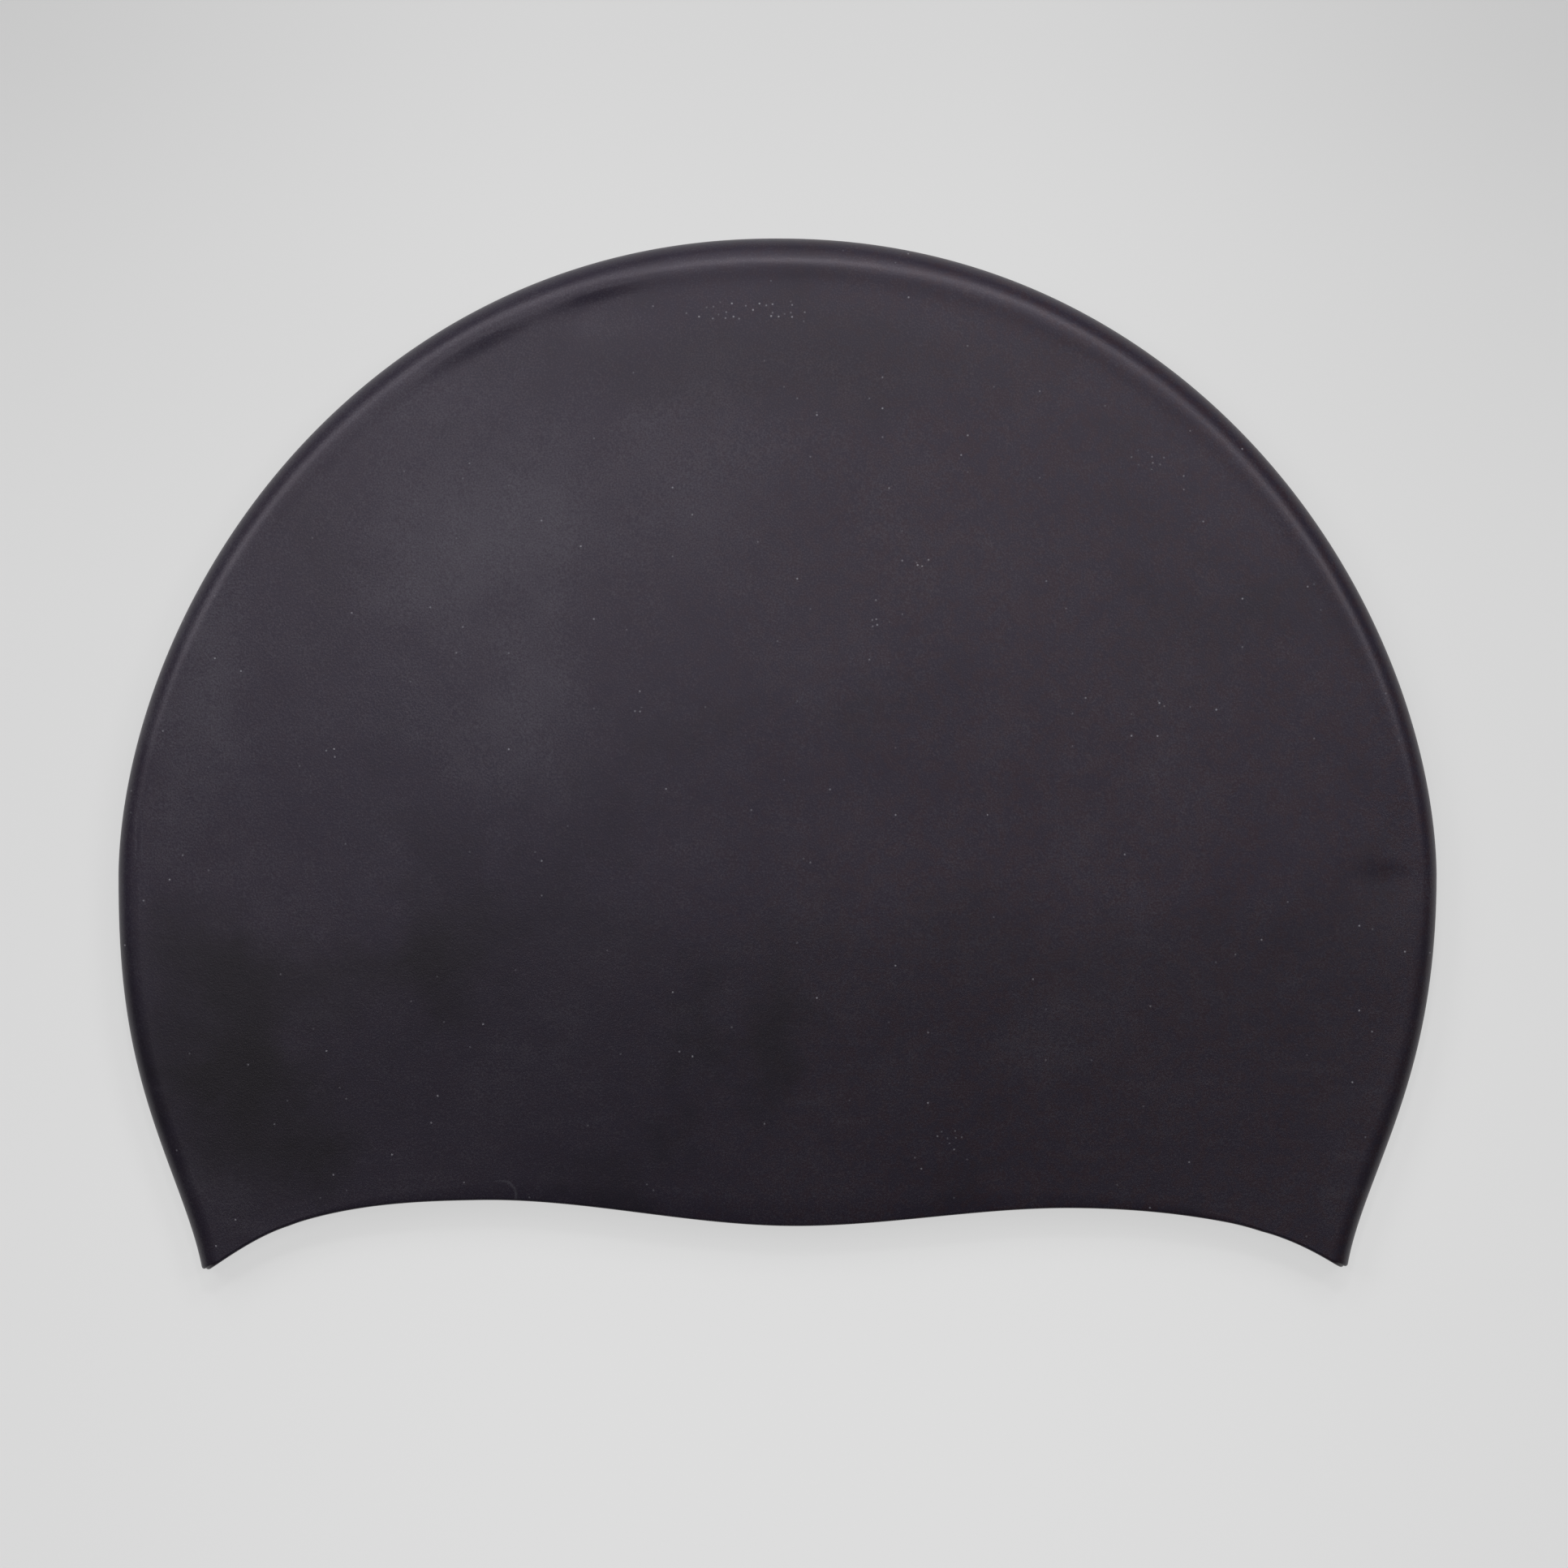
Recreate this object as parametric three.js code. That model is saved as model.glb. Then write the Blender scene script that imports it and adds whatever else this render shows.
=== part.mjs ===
// A swim cap lying flat: one moulded silicone shell, hollow, open along its lower edge.
// Millimetres. +X runs across the cap, +Y from the opening to the crown, +Z up.
// The lower wall lies on z = 0, and the origin is under the middle of the cap.
//
// The shell folds over along one line, from the left corner over the crown to the right
// corner. Each row of the mesh is a section across that fold: lower wall, roll, upper wall.
import * as THREE from 'three';

// Main sizes
const CAP_WIDTH = 225;      // side to side at the widest line
const CAP_LENGTH = 176;     // corner tips to crown
const WALL = 1.0;           // thickness of the silicone
const CROWN_GAP = 8.4;      // hollow inside the rolled fold at the crown
const CORNER_GAP = 5.0;     // hollow inside the rolled fold at the two corners
const MOUTH_GAP = 5.0;      // hollow between the walls at the opening edge
const BULGE = 2.4;          // how far the slack upper wall stands up between crown and mouth
const BULGE_PEAK = 0.6;     // share of the way to the mouth at which it stands up most
const GROOVE_DEPTH = 0.2;   // shallow groove right behind the rolled fold
const GROOVE_RUN = 3;       // distance from the top of the roll to the bottom of the groove
const GROOVE_END = 14;      // distance from the top of the roll to where the groove ends
const NORMAL_BLEND = 9;     // length at a corner over which the sections turn to the edge

// Outline, as shares of the width and length
const WIDEST_UP = 0.3826;   // height of the widest line above the corner tips
const DOME_SHOULDER = 2.09; // power of the dome's curve towards the sides
const DOME_CROWN = 1.80;    // power of the dome's curve towards the crown
const CORNER_ROUND = 0.3;   // rounding of a corner tip, as a share of the hollow's radius

// Below the widest line each side runs in to its corner: the power of that curve, then
// how much it bows out near the corner, and how late.
const SIDES = [
  { sign: -1, power: 2.27, bow: 1.53, late: 1.86 },
  { sign: 1, power: 2.0, bow: 1.4, late: 2.24 },
];

// The wavy opening edge: across is a share of half the width, up a share of the length
// above the corner tips, rise the slope of the edge there.
const EDGE = [
  { across: -0.872, up: -0.0038, rise: 0.68 },
  { across: -0.713, up: 0.0500, rise: 0.288 },
  { across: -0.450, up: 0.0692, rise: 0.015 },
  { across: 0.013, up: 0.0442, rise: -0.015 },
  { across: 0.446, up: 0.0615, rise: -0.006 },
  { across: 0.678, up: 0.0479, rise: -0.189 },
  { across: 0.864, up: -0.0010, rise: -0.60 },
];

// Share of the half width from a corner tip to where the sections' ends leave it and
// run on along the opening edge.
const CORNER_REACH = 0.13;

// Dents in the upper wall: across and up as in the edge table, turn in degrees from the
// cap's width. Long, wide and tail are shares of half the width, deep a share of the
// hollow at the crown: each dent falls steeply over wide on its side towards the crown
// and rises slowly over tail on the other.
const DENTS = [
  // buckle behind the roll, left of the crown
  { across: -0.274, up: 0.934, turn: 15, long: 0.058, wide: 0.018, tail: 0.044, deep: 0.055 },
  // hollow on the left shoulder
  { across: -0.444, up: 0.883, turn: 28, long: 0.071, wide: 0.028, tail: 0.062, deep: 0.060 },
  // faint fold at the right
  { across: 0.920, up: 0.384, turn: 0, long: 0.044, wide: 0.011, tail: 0.062, deep: 0.030 },
];

// Rows of the mesh along the fold. The dome's angles run from its left side over the
// crown to its right side, and the rows are closer where the dents are.
const SIDE_ROWS = 12;
const DOME_ROWS = [
  { from: 0, to: 36, steps: 9 },
  { from: 36, to: 90, steps: 22 },
  { from: 90, to: 180, steps: 23 },
];

// Steps across a section: the flat lower wall, each quarter of the roll, the upper wall.
const LOWER_STEPS = 3;
const ROLL_STEPS = 5;
const UPPER_STEPS = 10;
const LIP_STEPS = 3;

// How much the steps of each wall crowd towards the roll: 1 would space them evenly.
const LOWER_CROWDING = 1.6;
const UPPER_CROWDING = 2.2;

const HALF_WIDTH = CAP_WIDTH / 2;
const EDGE_FIRST = EDGE[0];
const EDGE_LAST = EDGE[EDGE.length - 1];

function mix(a, b, share) {
  return a + (b - a) * share;
}

function smooth(share) {
  const t = Math.min(Math.max(share, 0), 1);
  return t * t * (3 - 2 * t);
}

// Height in the plan of a share of the length above the corner tips.
function planY(up) {
  return (up - 0.5) * CAP_LENGTH;
}

// Opening edge as the plan shows it: its height and slope at x, a cubic between the rows.
function openingEdge(x) {
  let k = 0;
  while (k < EDGE.length - 2 && x > EDGE[k + 1].across * HALF_WIDTH) k += 1;
  const a = EDGE[k];
  const b = EDGE[k + 1];
  const run = (b.across - a.across) * HALF_WIDTH;
  const t = (x - a.across * HALF_WIDTH) / run;
  const ya = planY(a.up);
  const yb = planY(b.up);
  const y = (2 * t ** 3 - 3 * t ** 2 + 1) * ya + (t ** 3 - 2 * t ** 2 + t) * run * a.rise
    + (3 * t ** 2 - 2 * t ** 3) * yb + (t ** 3 - t ** 2) * run * b.rise;
  const slope = (6 * t ** 2 - 6 * t) * (ya - yb) / run
    + (3 * t ** 2 - 4 * t + 1) * a.rise + (3 * t ** 2 - 2 * t) * b.rise;
  return { y, slope };
}

// Plan point of the skins' edge, half a wall inside the opening edge, which leaves room
// for the rounded lip.
function skinEdge(x) {
  const { y, slope } = openingEdge(x);
  return new THREE.Vector2(x, y + WALL / 2 * Math.hypot(1, slope));
}

// Point on a side, from the widest line (t = 0) to the corner tip (t = 1).
function sidePoint(side, t) {
  const corner = side.sign < 0 ? EDGE_FIRST : EDGE_LAST;
  const inset = (1 - Math.abs(corner.across)) * HALF_WIDTH;
  const bow = 1 + side.bow * t ** side.late * (1 - t);
  const x = side.sign * (HALF_WIDTH - inset * t ** side.power * bow);
  return new THREE.Vector2(x, mix(planY(WIDEST_UP), planY(corner.up), t));
}

// Point on the dome: 0 degrees is its left side, 90 the crown, 180 its right side.
function domePoint(degrees) {
  const angle = THREE.MathUtils.degToRad(degrees);
  const c = Math.cos(angle);
  const s = Math.max(Math.sin(angle), 0);
  const x = -HALF_WIDTH * Math.sign(c) * Math.abs(c) ** (2 / DOME_SHOULDER);
  const y = planY(WIDEST_UP) + (1 - WIDEST_UP) * CAP_LENGTH * s ** (2 / DOME_CROWN);
  return new THREE.Vector2(x, y);
}

// Rows on one side, from its corner up to the widest line, closer together at the tip.
function sideRows(side) {
  const corner = side.sign < 0 ? EDGE_FIRST : EDGE_LAST;
  const height = (WIDEST_UP - corner.up) * CAP_LENGTH;
  const end = 1 - WALL / 2 * Math.hypot(1, corner.rise) / height;
  const points = [];
  for (let k = 0; k < SIDE_ROWS; k += 1) {
    points.push(sidePoint(side, end * (1 - (k / SIDE_ROWS) ** 2)));
  }
  return points;
}

function domeRows() {
  const points = [domePoint(DOME_ROWS[0].from)];
  for (const span of DOME_ROWS) {
    for (let k = 1; k <= span.steps; k += 1) {
      points.push(domePoint(mix(span.from, span.to, k / span.steps)));
    }
  }
  return points;
}

// One entry for each row along the fold: its plan point, the direction in which the
// section leaves the fold, its share of the fold's length, its nearness to the crown and
// the radius of the roll.
function foldRows() {
  const points = [...sideRows(SIDES[0]), ...domeRows(), ...sideRows(SIDES[1]).reverse()];
  const along = [0];
  for (let i = 1; i < points.length; i += 1) {
    along.push(along[i - 1] + points[i].distanceTo(points[i - 1]));
  }
  const total = along[along.length - 1];
  const last = points.length - 1;
  const leftward = new THREE.Vector2(1, EDGE_FIRST.rise).normalize();
  const rightward = new THREE.Vector2(-1, -EDGE_LAST.rise).normalize();
  return points.map((point, i) => {
    const ahead = points[Math.min(i + 1, last)];
    const behind = points[Math.max(i - 1, 0)];
    const inward = new THREE.Vector2(ahead.y - behind.y, behind.x - ahead.x).normalize();
    const fromEnd = Math.min(along[i], total - along[i]);
    const edgeway = along[i] < total / 2 ? leftward : rightward;
    inward.lerp(edgeway, 1 - smooth(fromEnd / NORMAL_BLEND)).normalize();
    const crownward = smooth(2 * fromEnd / total);
    const radius = WALL + mix(CORNER_GAP, CROWN_GAP, crownward) / 2;
    return { point, inward, fromEnd, share: along[i] / total, crownward, radius };
  });
}

// How far a row's fold point steps in to round the corner tip.
function cornerStep(row) {
  const round = CORNER_ROUND * CORNER_GAP / 2;
  const left = Math.max(round - row.fromEnd, 0);
  return round - Math.sqrt(round ** 2 - left ** 2);
}

// Depth of the dents at a plan point.
function dentDepth(point) {
  let depth = 0;
  for (const dent of DENTS) {
    const centre = new THREE.Vector2(dent.across * HALF_WIDTH, planY(dent.up));
    const turn = THREE.MathUtils.degToRad(-dent.turn);
    const local = point.clone().sub(centre).rotateAround(new THREE.Vector2(), turn);
    const along = local.x / (dent.long * HALF_WIDTH);
    const over = local.y / ((local.y > 0 ? dent.wide : dent.tail) * HALF_WIDTH);
    depth += dent.deep * CROWN_GAP * Math.exp(-(along ** 2) - over ** 2);
  }
  return depth;
}

// Plan point on a section behind its roll: share 0 is the top of the roll, 1 the opening
// edge. The rows at the two corners bend so that they follow the edge there.
function wallPlan(row, share) {
  const start = row.point.clone().addScaledVector(row.inward, row.radius);
  const reach = CORNER_REACH * HALF_WIDTH;
  const first = EDGE_FIRST.across * HALF_WIDTH;
  const last = EDGE_LAST.across * HALF_WIDTH;
  const end = skinEdge(mix(first + reach, last - reach, row.share));
  const point = start.lerp(end, share);
  for (const [from, to, weight] of [[first, first + reach, 1 - row.share],
    [last, last - reach, row.share]]) {
    const chord = mix(skinEdge(from).y, skinEdge(to).y, share);
    point.y += weight * (skinEdge(mix(from, to, share)).y - chord);
  }
  return { point, run: share * row.point.distanceTo(end) };
}

// Height of the upper wall's outer face behind the roll: a fall to the mouth, with the
// bulge on top of it and the groove and the dents pressed in.
function upperHeight(row, point, run, share) {
  const fall = mix(2 * row.radius, MOUTH_GAP + 2 * WALL, smooth(share));
  const rising = (share / BULGE_PEAK) ** (BULGE_PEAK / (1 - BULGE_PEAK));
  const falling = (1 - share) / (1 - BULGE_PEAK);
  const groove = smooth(run / GROOVE_RUN) * (1 - smooth(run / GROOVE_END));
  const slack = BULGE * rising * falling - GROOVE_DEPTH * groove;
  return fall + row.crownward * slack - dentDepth(point);
}

// One section of a skin, from the lower wall's edge round the fold to the upper wall's
// edge. depth is 0 for the outer skin and WALL for the inner one.
function section(row, depth) {
  const points = [];
  for (let k = LOWER_STEPS; k >= 1; k -= 1) {
    const { point } = wallPlan(row, (k / LOWER_STEPS) ** LOWER_CROWDING);
    points.push(new THREE.Vector3(point.x, point.y, depth));
  }
  const step = cornerStep(row) + depth;
  for (let k = -ROLL_STEPS; k <= ROLL_STEPS; k += 1) {
    const angle = k / ROLL_STEPS * Math.PI / 2;
    const inset = step + (row.radius - step) * (1 - Math.cos(angle));
    const point = row.point.clone().addScaledVector(row.inward, inset);
    const dent = k > 0 ? dentDepth(point) * Math.sin(angle) : 0;
    const height = row.radius + (row.radius - depth) * Math.sin(angle);
    points.push(new THREE.Vector3(point.x, point.y, height - dent));
  }
  for (let k = 1; k <= UPPER_STEPS; k += 1) {
    const share = (k / UPPER_STEPS) ** UPPER_CROWDING;
    const { point, run } = wallPlan(row, share);
    const height = upperHeight(row, point, run, share);
    points.push(new THREE.Vector3(point.x, point.y, height - depth));
  }
  return points;
}

// Indices of a skin's rim, once round: first row, last column, last row, first column.
function rimLoop(rows, columns) {
  const at = (i, j) => i * columns + j;
  const loop = [];
  for (let j = 0; j < columns - 1; j += 1) loop.push(at(0, j));
  for (let i = 0; i < rows - 1; i += 1) loop.push(at(i, columns - 1));
  for (let j = columns - 1; j > 0; j -= 1) loop.push(at(rows - 1, j));
  for (let i = rows - 1; i > 0; i -= 1) loop.push(at(i, 0));
  return loop;
}

// The closed shell: outer skin, inner skin and the rounded lip that joins their rims.
function shellGeometry() {
  const rows = foldRows();
  const outer = rows.map((row) => section(row, 0));
  const inner = rows.map((row) => section(row, WALL));
  const columns = outer[0].length;
  const points = [...outer.flat(), ...inner.flat()];
  const innerStart = rows.length * columns;
  const faces = [];

  function quad(a, b, c, d) {
    if (points[a].distanceTo(points[c]) <= points[b].distanceTo(points[d])) {
      faces.push(a, b, c, a, c, d);
    } else {
      faces.push(a, b, d, b, c, d);
    }
  }

  for (let i = 0; i < rows.length - 1; i += 1) {
    for (let j = 0; j < columns - 1; j += 1) {
      const a = i * columns + j;
      const d = a + columns;
      quad(a, a + 1, d + 1, d);
      quad(innerStart + a, innerStart + d, innerStart + d + 1, innerStart + a + 1);
    }
  }

  const loop = rimLoop(rows.length, columns);
  const rings = [loop];
  for (let k = 1; k < LIP_STEPS; k += 1) {
    const angle = k / LIP_STEPS * Math.PI;
    rings.push(loop.map((index) => {
      const top = points[index];
      const bottom = points[innerStart + index];
      const { slope } = openingEdge(top.x);
      const out = new THREE.Vector3(slope, -1, 0).setLength(top.distanceTo(bottom) / 2);
      const middle = top.clone().add(bottom).multiplyScalar(0.5);
      const half = top.clone().sub(middle);
      points.push(middle.addScaledVector(half, Math.cos(angle)).addScaledVector(out, Math.sin(angle)));
      return points.length - 1;
    }));
  }
  rings.push(loop.map((index) => innerStart + index));
  for (let r = 0; r < rings.length - 1; r += 1) {
    for (let k = 0; k < loop.length; k += 1) {
      const next = (k + 1) % loop.length;
      quad(rings[r][next], rings[r][k], rings[r + 1][k], rings[r + 1][next]);
    }
  }

  const geometry = new THREE.BufferGeometry().setFromPoints(points);
  geometry.setIndex(faces);
  geometry.computeVertexNormals();
  return geometry;
}

const silicone = new THREE.MeshStandardMaterial({
  name: 'dark_silicone',
  color: 0x37333a,
  roughness: 0.62,
  metalness: 0,
});

const capShell = new THREE.Mesh(shellGeometry(), silicone);
capShell.name = 'cap_shell';

const group = new THREE.Group();
group.add(capShell);

export default group;
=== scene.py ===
"""A dark silicone swim cap lying flat on a pale studio floor, seen from straight above.

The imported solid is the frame. The cap's visible shell replaces it: its rows and stations
are laid out here in a pattern mesh, and a Geometry Nodes tree gives that pattern its wall,
its rolled fold, its bulge and its dents. Lengths are metres unless a name ends in _MM.
"""
import math

import bpy
import numpy as np
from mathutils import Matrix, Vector


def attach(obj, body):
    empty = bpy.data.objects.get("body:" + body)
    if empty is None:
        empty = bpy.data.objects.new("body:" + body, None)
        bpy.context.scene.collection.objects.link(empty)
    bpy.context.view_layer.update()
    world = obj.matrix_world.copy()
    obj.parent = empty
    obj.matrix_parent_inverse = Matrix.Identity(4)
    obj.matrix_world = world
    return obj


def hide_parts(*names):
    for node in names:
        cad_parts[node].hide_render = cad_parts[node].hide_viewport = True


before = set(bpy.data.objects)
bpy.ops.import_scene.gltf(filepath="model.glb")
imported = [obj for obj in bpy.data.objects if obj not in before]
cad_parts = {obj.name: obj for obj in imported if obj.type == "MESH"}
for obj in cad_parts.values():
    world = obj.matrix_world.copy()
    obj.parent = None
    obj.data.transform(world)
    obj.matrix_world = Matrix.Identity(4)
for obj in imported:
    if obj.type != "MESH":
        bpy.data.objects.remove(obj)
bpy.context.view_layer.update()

MM = 0.001

# Main sizes of the cap, in millimetres
CAP_WIDTH_MM = 225.0
CAP_LENGTH_MM = 176.0
WALL_MM = 1.0
CROWN_GAP_MM = 8.4
CORNER_GAP_MM = 5.0
MOUTH_GAP_MM = 5.0
BULGE_MM = 2.4
BULGE_PEAK = 0.6
GROOVE_DEPTH_MM = 0.2
GROOVE_RUN_MM = 3.0
GROOVE_END_MM = 14.0
NORMAL_BLEND_MM = 9.0

# Slack ripples of the upper wall: height, scale of their noise per metre, and its seed
RIPPLE_HEIGHT_MM = 0.16
RIPPLE_SCALE = 30.0
RIPPLE_SEED = 4.0

# Outline, as shares of the width and the length
WIDEST_UP = 0.3826
DOME_SHOULDER = 2.09
DOME_CROWN = 1.80
CORNER_ROUND = 0.3
CORNER_REACH = 0.13

# Below the widest line each side runs in to its corner.
SIDES = {
    "left": {"sign": -1, "power": 2.27, "bow": 1.53, "late": 1.86},
    "right": {"sign": 1, "power": 2.0, "bow": 1.4, "late": 2.24},
}

# The wavy opening edge: share of half the width, share of the length above the corner
# tips, slope.
EDGE = np.array([
    (-0.872, -0.0038, 0.680),
    (-0.713, 0.0500, 0.288),
    (-0.450, 0.0692, 0.015),
    (0.013, 0.0442, -0.015),
    (0.446, 0.0615, -0.006),
    (0.678, 0.0479, -0.189),
    (0.864, -0.0010, -0.600),
])

# Dents in the upper wall: place as in the edge table, turn in degrees. Long, wide and tail
# are shares of half the width, deep of the hollow at the crown. Each dent falls steeply
# over wide towards the crown and rises slowly over tail on its other side.
DENTS = [
    # buckle behind the roll, left of the crown
    {"across": -0.274, "up": 0.934, "turn": 15, "long": 0.058, "wide": 0.018, "tail": 0.044, "deep": 0.055},
    # hollow on the left shoulder
    {"across": -0.444, "up": 0.883, "turn": 28, "long": 0.071, "wide": 0.028, "tail": 0.062, "deep": 0.060},
    # faint fold at the right
    {"across": 0.920, "up": 0.384, "turn": 0, "long": 0.044, "wide": 0.011, "tail": 0.062, "deep": 0.030},
]

# Rows along the fold: on each side, and over the dome in spans of degrees.
SIDE_ROWS = 56
DOME_ROWS = [(0, 36, 46), (36, 90, 110), (90, 180, 96)]

# Stations across a section, which lie closer together near the roll
LOWER_STEPS = 7
ROLL_STEPS = 11
UPPER_STEPS = 58
LIP_STEPS = 6
CROWDING = 1.6

# Colours of the silicone in linear light: bluish on the left and more maroon on the right,
# with a pale bloom, dark stains and dust on top. The pale and dark colours also paint light
# on the upper left and shade low on the left, in the fold at the right and towards the opening.
COOL = (0.0155, 0.0122, 0.0225)
WARM = (0.0200, 0.0113, 0.0176)
BLOOM_AND_LIGHT = (0.0480, 0.0450, 0.0570)
STAIN_AND_SHADE = (0.0068, 0.0060, 0.0078)
DUST = (0.2200, 0.2150, 0.2400)
GLOSS_TINT = (0.98, 0.90, 1.0)
ROUGHNESS = 0.39
SILICONE_IOR = 1.41
SPECULAR_LEVEL = 0.5

# Scales of the silicone's noises and of the dust cells, per metre
CLOUD_SCALE = 24.0
WANDER_SCALE = 50.0
FLECK_SCALE = 130.0
MOTTLE_SCALE = 520.0
PEBBLE_SCALE = 900.0
DUST_SCALE = 900.0
GRAIN_SCALE = 3600.0

# How far patches wander from their places, how much the grain shows in the bloom, and the
# strength and height of the pebbled surface
WANDER_REACH = 0.034
GRAIN_BLOOM = 2.0
PEBBLE_STRENGTH = 0.35
PEBBLE_HEIGHT = 0.00006

# A band of painted light on the upper left: its straight right edge, where it fades further
# left, and where it fades downwards
BAND_EDGE = (-0.0335, -0.0375)
BAND_LEFT = (-0.105, -0.060)
BAND_LOW = (0.005, 0.035)

# Streaks towards the opening: where they set in, and how their noise is squeezed each way
STREAK_START = (-0.010, -0.045)
STREAK_STRETCH = (70.0, 330.0, 1.0)

# Painted shade: the silicone is darker towards the opening, below a wavering line between these heights.
LOW_SHADE = (-0.020, -0.034)

# Pale patches, of bloom and of painted light on the upper left: middle and half sizes in
# millimetres, turn in degrees, strength.
BLOOM_AND_LIGHT_PATCHES = [
    # the first six patches, on the upper left, are painted light
    (-48, 39, 22, 16, 10, 0.42),
    (-41, 6, 10, 17, 0, 0.36),
    (-98, 12, 9, 26, -8, 0.30),
    (-60, 12, 12, 9, 0, 0.18),
    (-14, 48, 14, 20, 0, 0.22),
    (-58, 62, 20, 8, 25, 0.14),
    (12, 11, 12, 12, 0, 0.12),
    (-66, -17, 7, 10, 0, 0.12),
    (-15, -48, 8, 7, 0, 0.14),
    (-43, -54, 10, 8, 0, 0.14),
    (47, -50, 10, 7, 0, 0.12),
    (-96.5, -73, 9, 3.5, -74, 0.24),
    (94, -76, 7, 3, 75, 0.12),
]

# Dark stains, and painted shade low on the left and in the fold at the right, in the same columns
DARK_STAINS_AND_SHADE = [
    # painted shade low on the left
    (-92, -54, 13, 20, 8, 0.75),
    (4, 67, 46, 9, 0, 0.30),
    (1, -50, 7, 11, 0, 0.45),
    (-77, -36, 22, 8, 0, 0.30),
    # painted shade in the fold at the right
    (103, -22, 6, 7, 0, 0.25),
    (70, 22, 14, 10, 20, 0.18),
    (-76, 33, 6, 14, 0, 0.16),
    (-100, -30, 9, 9, 0, 0.25),
]

# Thin pale rubs, in the same columns
RUBS = [
    (-109.1, -14.5, 0.25, 5.0, 0, 0.30),
    (-108.0, -14.5, 0.22, 4.5, 0, 0.24),
    (16.0, -7.0, 13.0, 0.30, -43, 0.07),
    (-0.5, -25.1, 0.5, 0.3, 0, 0.35),
]

# Specks of dust lie in clusters: middle, half sizes, turn, share of the dust cells filled.
DUST_CLUSTERS = [
    (-6.0, 75.1, 11.8, 1.9, 0, 0.42),
    (63.1, 49.9, 3.5, 1.4, -15, 0.60),
    (16.8, 22.2, 2.2, 0.9, 0, 0.70),
    (23.7, 32.6, 2.8, 0.8, 0, 0.60),
    (-23.3, 7.0, 1.7, 1.1, 0, 0.60),
    (-75.9, 0.1, 1.8, 1.1, 0, 0.60),
    (64.5, 8.4, 2.1, 0.8, 0, 0.60),
    (90.8, 18.8, 1.6, 0.8, 0, 0.70),
    (29.2, -65.0, 2.5, 1.2, 0, 0.50),
]
STRAY_DUST = 0.007

# A nick at the opening edge leaves a small pale arc: its middle, its radius, and the share
# of that radius over which the arc fades.
NICK_MM = (-46.9, -74.9)
NICK_RADIUS_MM = 2.4
NICK_FADE = 0.17

# Floor: a pale light table, a little brighter towards the opening and darker in the upper
# corners. Its glow fades between two heights in the plan, and over two widths at the sides.
FLOOR_SIZE = 6.0
FLOOR_COLOUR = (0.16, 0.16, 0.16)
FLOOR_GLOW = {"low": 0.612, "high": 0.520, "from": -0.16, "to": 0.16}
FLOOR_TOP = {"fall": 0.040, "from": 0.08, "to": 0.15}
FLOOR_SIDES = {"fall": 0.034, "from": 0.03, "to": 0.16,
               "upper_fall": 0.058, "upper_from": 0.02, "upper_to": 0.13}
FLOOR_ROUGHNESS = 0.9
FLOOR_SPECULAR = 0.1

# Softboxes: degrees from straight above, degrees round from +X towards +Y, diameter in
# metres and power in watts. All are as far from the middle of the cap.
SOFTBOX_DISTANCE = 0.75
SOFTBOXES = [
    {"name": "top_left_box", "zenith": 13, "azimuth": 150, "size": 0.14, "watts": 0.45},
    {"name": "top_right_box", "zenith": 13, "azimuth": 30, "size": 0.14, "watts": 0.22},
    {"name": "crown_box", "zenith": 34, "azimuth": 90, "size": 0.09, "watts": 1.00},
    {"name": "left_box", "zenith": 46, "azimuth": 152, "size": 0.34, "watts": 1.38},
    {"name": "right_box", "zenith": 40, "azimuth": 26, "size": 0.26, "watts": 1.04},
    {"name": "back_left_box", "zenith": 50, "azimuth": 117, "size": 0.26, "watts": 0.92},
    {"name": "back_box", "zenith": 62, "azimuth": 90, "size": 0.40, "watts": 0.50},
    {"name": "back_right_box", "zenith": 46, "azimuth": 64, "size": 0.24, "watts": 1.00},
]
AMBIENT = 0.051

# The photograph's frame: the cap's middle lies a little above the picture's. Its width is
# the one at the height of the cap's outline.
FRAME_WIDTH_MM = 267.35
FRAME_CENTRE_MM = (1.1, -4.98)
OUTLINE_HEIGHT_MM = 5.0
LENS_MM = 120.0
SENSOR_MM = 36.0

HALF_WIDTH_MM = CAP_WIDTH_MM / 2


def smooth(share):
    t = np.clip(share, 0.0, 1.0)
    return t * t * (3.0 - 2.0 * t)


def plan_y(up):
    """Height in the plan of a share of the length above the corner tips."""
    return (up - 0.5) * CAP_LENGTH_MM


def opening_edge(x):
    """Height and slope of the opening edge at x, a cubic between the table's rows."""
    knots = EDGE[:, 0] * HALF_WIDTH_MM
    heights = plan_y(EDGE[:, 1])
    rises = EDGE[:, 2]
    k = np.clip(np.searchsorted(knots, x) - 1, 0, len(knots) - 2)
    run = knots[k + 1] - knots[k]
    t = (x - knots[k]) / run
    a, b, ra, rb = heights[k], heights[k + 1], rises[k], rises[k + 1]
    y = ((2 * t**3 - 3 * t**2 + 1) * a + (t**3 - 2 * t**2 + t) * run * ra
         + (3 * t**2 - 2 * t**3) * b + (t**3 - t**2) * run * rb)
    slope = ((6 * t**2 - 6 * t) * (a - b) / run
             + (3 * t**2 - 4 * t + 1) * ra + (3 * t**2 - 2 * t) * rb)
    return y, slope


def skin_edge(x):
    """The skins end half a wall inside the opening edge, which leaves the lip its room."""
    y, slope = opening_edge(x)
    return y + WALL_MM / 2 * np.hypot(1.0, slope)


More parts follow.
